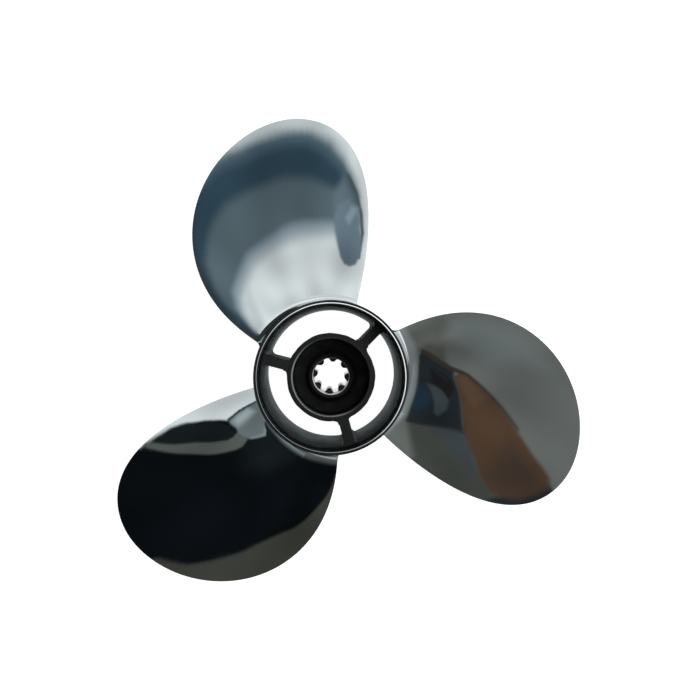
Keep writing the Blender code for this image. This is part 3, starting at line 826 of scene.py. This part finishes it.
def ripple(azimuth, elevation, start):
    """Slow waves over the surroundings, so that no edge in them is quite straight."""
    across = np.radians(azimuth)
    upward = np.radians(elevation)
    total = np.zeros_like(azimuth)
    for count in range(1, 5):
        turn = start + 2.1 * count
        wave = 4.0 * count * (across * np.cos(turn) + 1.3 * upward * np.sin(turn)) + 1.7 * turn
        total += np.sin(wave) / count
    return total * (1 - smooth_step(np.abs(elevation), *RIPPLE_FADE))


def clouds(azimuth, elevation):
    """Soft blotches a few degrees wide, from waves that cross at different angles."""
    total = np.zeros_like(azimuth)
    for count in range(CLOUD_WAVES):
        turn = CLOUD_TURN * count
        length = CLOUD_LENGTH + CLOUD_LENGTH_STEP * count
        total += np.sin(math.tau / length * (azimuth * math.cos(turn) + elevation * math.sin(turn)) + count)
    return total / CLOUD_WAVES * (1 - smooth_step(np.abs(elevation), *RIPPLE_FADE))


def patch_mask(azimuth, elevation, corners, soft):
    """1 inside an outline of directions and 0 outside it."""
    away = np.full_like(azimuth, np.inf)
    inside = np.zeros(azimuth.shape, dtype=bool)
    for (x1, y1), (x2, y2) in zip(corners, corners[1:] + corners[:1]):
        span_x = x2 - x1
        span_y = y2 - y1
        share = ((azimuth - x1) * span_x + (elevation - y1) * span_y) / (span_x ** 2 + span_y ** 2)
        share = np.clip(share, 0.0, 1.0)
        away = np.minimum(away, np.hypot(azimuth - x1 - share * span_x, elevation - y1 - share * span_y))
        if y1 != y2:
            crossing = x1 + span_x * (elevation - y1) / span_y
            inside ^= ((y1 > elevation) != (y2 > elevation)) & (azimuth < crossing)
    return smooth_step(np.where(inside, away, -away), -soft / 2, soft / 2)


def painted(colour, mask, shade):
    """A shade laid over colours where its mask is 1."""
    mask = mask[:, None]
    return colour * (1 - mask) + np.array(shade) * mask


def away_from(azimuth, elevation, other_azimuth, other_elevation):
    """The angle between directions and another one."""
    level = np.cos(np.radians(elevation)) * math.cos(math.radians(other_elevation))
    upright = np.sin(np.radians(elevation)) * math.sin(math.radians(other_elevation))
    cosine = level * np.cos(np.radians(azimuth - other_azimuth)) + upright
    return np.degrees(np.arccos(np.clip(cosine, -1.0, 1.0)))


def low_band(azimuth, elevation, colour):
    """The light that comes from just below the horizon, a dim zone under it, and the white floor."""
    near = 1 - smooth_step(elevation, *BAND_TOP)
    for start, end, shade in LOW_BANDS:
        colour = painted(colour, near * (azimuth >= start) * (azimuth < end), shade)
    dim = (1 - smooth_step(elevation, *BAND_FOOT)) * smooth_step(azimuth, 70.0, 100.0)
    colour = painted(colour, dim, OVERHEAD)
    return painted(colour, 1 - smooth_step(elevation, *FLOOR_TOP), FLOOR_LIGHT)


def mirrored_colours(azimuth, elevation):
    """The light that the steel mirrors from each direction."""
    shading = 1 + SHADING_SHARE * ripple(azimuth, elevation, 4.0)
    shading = shading + CLOUD_SHARE * clouds(azimuth, elevation)
    azimuth_here = azimuth + SWAY * ripple(azimuth, elevation, 0.0)
    elevation_here = elevation + SWAY * ripple(azimuth, elevation, 1.0)
    colour = np.zeros((len(azimuth), 3))
    for corners, shade, soft in TOP_BLADE_PATCHES + LEFT_BLADE_PATCHES + RIGHT_BLADE_PATCHES:
        colour = painted(colour, patch_mask(azimuth_here, elevation_here, corners, soft), shade)
    colour = painted(colour, smooth_step(elevation, *UPPER_EDGE), OVERHEAD)
    colour = painted(colour, 1 - smooth_step(away_from(azimuth, elevation, *SOFTBOX_DIRECTION), *SOFTBOX_EDGE), SOFTBOX_SHADE)
    colour = low_band(azimuth, elevation, colour)
    return colour * shading[:, None]


def dome():
    """The surroundings as a glowing dome that only reflections and bounced light see."""
    azimuths = np.linspace(AZIMUTH_START, AZIMUTH_START + 360.0, DOME_COLUMNS + 1)
    elevations = np.interp(np.linspace(0.0, 1.0, DOME_ROWS + 1), DOME_ROW_SHARES, DOME_ROW_ELEVATIONS)
    azimuth, elevation = (grid.ravel() for grid in np.meshgrid(azimuths, elevations))
    level = np.cos(np.radians(elevation))
    points = DOME_RADIUS * np.stack(
        (level * np.cos(np.radians(azimuth)), level * np.sin(np.radians(azimuth)), np.sin(np.radians(elevation))),
        axis=-1,
    )
    first = (np.arange(DOME_ROWS)[:, None] * (DOME_COLUMNS + 1) + np.arange(DOME_COLUMNS)[None, :]).ravel()
    faces = np.stack((first, first + DOME_COLUMNS + 1, first + DOME_COLUMNS + 2, first + 1), axis=-1)
    mesh = bpy.data.meshes.new("studio_dome")
    mesh.from_pydata(points.tolist(), [], faces.tolist())
    colours = mesh.attributes.new("light", "FLOAT_COLOR", "POINT")
    shades = np.concatenate((mirrored_colours(azimuth, elevation), np.ones((len(azimuth), 1))), axis=-1)
    colours.data.foreach_set("color", shades.astype(np.float32).ravel())

    made = bpy.data.materials.new("studio_light")
    made.use_nodes = True
    made.cycles.emission_sampling = "NONE"
    nodes = NodeMaker(made.node_tree)
    glow = nodes.add("ShaderNodeEmission")
    attribute = nodes.add("ShaderNodeAttribute", attribute_name="light")
    nodes.feed(glow.inputs["Color"], attribute.outputs["Color"])
    nodes.feed(made.node_tree.nodes["Material Output"].inputs["Surface"], glow.outputs[0])
    mesh.materials.append(made)
    piece = bpy.data.objects.new("studio_dome", mesh)
    piece.visible_camera = False
    piece.visible_shadow = False
    bpy.context.scene.collection.objects.link(piece)


def backdrop():
    """A plain pale world behind everything."""
    world = bpy.data.worlds.new("backdrop")
    world.use_nodes = True
    world.cycles.sampling_method = "NONE"
    world.node_tree.nodes["Background"].inputs["Color"].default_value = (1.0, 1.0, 1.0, 1.0)
    bpy.context.scene.world = world


def floor():
    """A pale floor that glows softly, like a light table, and is clear from below."""
    size = 3.0
    shape = bmesh.new()
    bmesh.ops.create_grid(shape, x_segments=1, y_segments=1, size=size)
    mesh = bpy.data.meshes.new("floor")
    shape.to_mesh(mesh)
    shape.free()
    piece = bpy.data.objects.new("floor", mesh)
    bpy.context.scene.collection.objects.link(piece)
    made, shader, nodes = material("light_table")
    shader.inputs["Base Color"].default_value = (0.5, 0.5, 0.5, 1.0)
    shader.inputs["Roughness"].default_value = 0.9
    shader.inputs["Specular IOR Level"].default_value = 0.0
    shader.inputs["Emission Color"].default_value = (1.0, 1.0, 1.0, 1.0)
    shader.inputs["Emission Strength"].default_value = 1.0
    piece.visible_glossy = False
    clear = nodes.add("ShaderNodeBsdfTransparent")
    chooser = nodes.add("ShaderNodeMixShader")
    nodes.feed(chooser.inputs[0], nodes.add("ShaderNodeNewGeometry").outputs["Backfacing"])
    nodes.feed(chooser.inputs[1], shader.outputs[0])
    nodes.feed(chooser.inputs[2], clear.outputs[0])
    nodes.feed(made.node_tree.nodes["Material Output"].inputs["Surface"], chooser.outputs[0])
    mesh.materials.append(made)


def soft_light():
    """One large soft light, high on the right."""
    data = bpy.data.lights.new("soft_light", "AREA")
    data.shape = "DISK"
    data.size = 0.9
    data.energy = 6.0
    lamp = bpy.data.objects.new("soft_light", data)
    lamp.location = (0.7, 0.5, 1.2)
    lamp.rotation_euler = (-lamp.location).to_track_quat("-Z", "Y").to_euler()
    lamp.visible_glossy = False
    bpy.context.scene.collection.objects.link(lamp)


def camera():
    """The photograph's camera, looking down the shaft."""
    forward = Vector(CAMERA_LOOKS).normalized()
    right = Vector(CAMERA_RIGHT).normalized()
    upward = right.cross(forward)
    data = bpy.data.cameras.new("camera")
    data.lens = CAMERA_LENS_MM
    data.sensor_width = CAMERA_SENSOR_MM
    made = bpy.data.objects.new("camera", data)
    made.matrix_world = Matrix.Translation(CAMERA_PLACE) @ Matrix((right, upward, -forward)).transposed().to_4x4()
    bpy.context.scene.collection.objects.link(made)
    bpy.context.scene.camera = made


def build_propeller():
    """Every piece of the propeller, each standing for its CAD node."""
    polished = polished_stainless()
    cast = cast_bore()
    core = cast_core()
    rubber = black_rubber()
    steel = machined_steel()
    finish_piece(outer_hub(polished, cast), "outer_hub")
    finish_piece(inner_hub(core), "inner_hub")
    finish_piece(rubber_bush(rubber), "rubber_bush")
    finish_piece(splined_sleeve(steel), "splined_sleeve")
    face = blade_grid(1)
    back = blade_grid(-1)
    for index in range(BLADE_COUNT):
        finish_piece(blade(index, face, back, polished), f"blade_{index + 1}")
        finish_piece(rib(index, core), f"rib_{index + 1}")


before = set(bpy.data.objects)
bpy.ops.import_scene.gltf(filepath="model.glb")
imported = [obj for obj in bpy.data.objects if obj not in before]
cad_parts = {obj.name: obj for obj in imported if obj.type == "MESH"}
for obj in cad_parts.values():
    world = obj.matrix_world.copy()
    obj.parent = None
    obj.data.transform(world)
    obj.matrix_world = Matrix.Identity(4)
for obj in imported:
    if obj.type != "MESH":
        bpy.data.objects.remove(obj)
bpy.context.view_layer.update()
bpy.context.scene.view_settings.view_transform = "Standard"
camera()
backdrop()
dome()
soft_light()
floor()
build_propeller()
